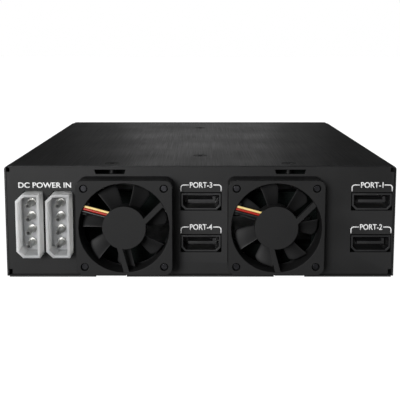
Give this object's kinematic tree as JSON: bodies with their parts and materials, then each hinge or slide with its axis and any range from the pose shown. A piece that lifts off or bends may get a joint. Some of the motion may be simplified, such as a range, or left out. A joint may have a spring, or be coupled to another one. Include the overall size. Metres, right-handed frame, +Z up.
{
  "type": "hot-swap drive enclosure",
  "caption": "Steel hot-swap cage for 2.5-inch drives in a 5.25-inch bay, with latched front trays, a backplane, rear fans, data ports and power inlets.",
  "frame": {"origin": "middle of the enclosure's length and width, on the underside that it stands on", "axes": "+Y towards the drive trays, so the fan and port panel faces -Y; +X to the right as seen from the fan side; +Z up"},
  "size_m": [0.146, 0.1754, 0.0423],
  "materials": {
    "cover_black": "satin black sheet, brushed front to back",
    "panel_black": "fine matt black paint",
    "zinc_sheet": "zinc-plated steel sheet",
    "frame_plastic": "black, fine texture",
    "lever_plastic": "black, fine texture",
    "button_smoke": "smoky, half clear",
    "screw_steel": "blackened steel",
    "fan_plastic": "black, satin",
    "shaft_steel": "ground steel",
    "bearing_brass": "plain",
    "motor_copper": "enamelled copper windings on a steel core",
    "lead_wires": "red, yellow and black insulation",
    "circuit_board": "black-green solder mask",
    "connector_black": "black",
    "natural_nylon": "natural nylon, off-white",
    "tin_plate": "tin-plated contacts"
  },
  "bodies": {
    "case": {"top_cover": "cover_black", "chassis_base": "panel_black", "rear_panel": "panel_black", "centre_divider": "zinc_sheet", "bay_shelf_left": "zinc_sheet", "bay_shelf_right": "zinc_sheet", "front_frame": "frame_plastic", "cover_screw_1": "screw_steel", "cover_screw_2": "screw_steel", "cover_screw_3": "screw_steel", "cover_screw_4": "screw_steel", "fan_screw_1": "screw_steel", "fan_screw_2": "screw_steel", "fan_screw_3": "screw_steel", "fan_screw_4": "screw_steel", "fan_screw_5": "screw_steel", "fan_screw_6": "screw_steel", "fan_screw_7": "screw_steel", "fan_screw_8": "screw_steel", "fan_frame_1": "fan_plastic", "fan_frame_2": "fan_plastic", "fan_bearing_1": "bearing_brass", "fan_bearing_2": "bearing_brass", "fan_stator_1": "motor_copper", "fan_stator_2": "motor_copper", "fan_lead_1": "lead_wires", "fan_lead_2": "lead_wires", "backplane_board": "circuit_board", "drive_socket_1": "connector_black", "drive_socket_2": "connector_black", "drive_socket_3": "connector_black", "drive_socket_4": "connector_black", "data_port_1": "connector_black", "data_port_2": "connector_black", "data_port_3": "connector_black", "data_port_4": "connector_black", "power_inlet_1": "natural_nylon", "power_inlet_2": "natural_nylon", "power_pins_1": "tin_plate", "power_pins_2": "tin_plate"},
    "tray_1": {"tray_sheet_1": "zinc_sheet", "tray_front_1": "frame_plastic"},
    "tray_2": {"tray_sheet_2": "zinc_sheet", "tray_front_2": "frame_plastic"},
    "tray_3": {"tray_sheet_3": "zinc_sheet", "tray_front_3": "frame_plastic"},
    "tray_4": {"tray_sheet_4": "zinc_sheet", "tray_front_4": "frame_plastic"},
    "lever_1": {"latch_lever_1": "lever_plastic"},
    "lever_2": {"latch_lever_2": "lever_plastic"},
    "lever_3": {"latch_lever_3": "lever_plastic"},
    "lever_4": {"latch_lever_4": "lever_plastic"},
    "button_1": {"release_button_1": "button_smoke"},
    "button_2": {"release_button_2": "button_smoke"},
    "button_3": {"release_button_3": "button_smoke"},
    "button_4": {"release_button_4": "button_smoke"},
    "rotor_1": {"fan_rotor_1": "fan_plastic", "fan_shaft_1": "shaft_steel"},
    "rotor_2": {"fan_rotor_2": "fan_plastic", "fan_shaft_2": "shaft_steel"}
  },
  "joints": [
    {"name": "fan_spin_1", "type": "hinge", "parent": "case", "child": "rotor_1", "pos_m": [-0.02765, -0.082, 0.02115], "axis": [0, 1, 0], "continuous": true},
    {"name": "fan_spin_2", "type": "hinge", "parent": "case", "child": "rotor_2", "pos_m": [0.02765, -0.082, 0.02115], "axis": [0, 1, 0], "continuous": true},
    {"name": "tray_slide_1", "type": "slide", "parent": "case", "child": "tray_1", "axis": [0, 1, 0], "range_m": [0, 0.13]},
    {"name": "latch_hinge_1", "type": "hinge", "parent": "tray_1", "child": "lever_1", "pos_m": [0.06835, 0.0847, 0.0315], "axis": [0, 0, -1], "range_deg": [0, 75]},
    {"name": "button_press_1", "type": "slide", "parent": "tray_1", "child": "button_1", "axis": [0, -1, 0], "range_m": [0, 0.0015], "stiffness_N_per_m": 400},
    {"name": "tray_slide_2", "type": "slide", "parent": "case", "child": "tray_2", "axis": [0, 1, 0], "range_m": [0, 0.13]},
    {"name": "latch_hinge_2", "type": "hinge", "parent": "tray_2", "child": "lever_2", "pos_m": [0.06835, 0.0847, 0.0108], "axis": [0, 0, -1], "range_deg": [0, 75]},
    {"name": "button_press_2", "type": "slide", "parent": "tray_2", "child": "button_2", "axis": [0, -1, 0], "range_m": [0, 0.0015], "stiffness_N_per_m": 400},
    {"name": "tray_slide_3", "type": "slide", "parent": "case", "child": "tray_3", "axis": [0, 1, 0], "range_m": [0, 0.13]},
    {"name": "latch_hinge_3", "type": "hinge", "parent": "tray_3", "child": "lever_3", "pos_m": [-0.00435, 0.0847, 0.0315], "axis": [0, 0, -1], "range_deg": [0, 75]},
    {"name": "button_press_3", "type": "slide", "parent": "tray_3", "child": "button_3", "axis": [0, -1, 0], "range_m": [0, 0.0015], "stiffness_N_per_m": 400},
    {"name": "tray_slide_4", "type": "slide", "parent": "case", "child": "tray_4", "axis": [0, 1, 0], "range_m": [0, 0.13]},
    {"name": "latch_hinge_4", "type": "hinge", "parent": "tray_4", "child": "lever_4", "pos_m": [-0.00435, 0.0847, 0.0108], "axis": [0, 0, -1], "range_deg": [0, 75]},
    {"name": "button_press_4", "type": "slide", "parent": "tray_4", "child": "button_4", "axis": [0, -1, 0], "range_m": [0, 0.0015], "stiffness_N_per_m": 400}
  ]
}
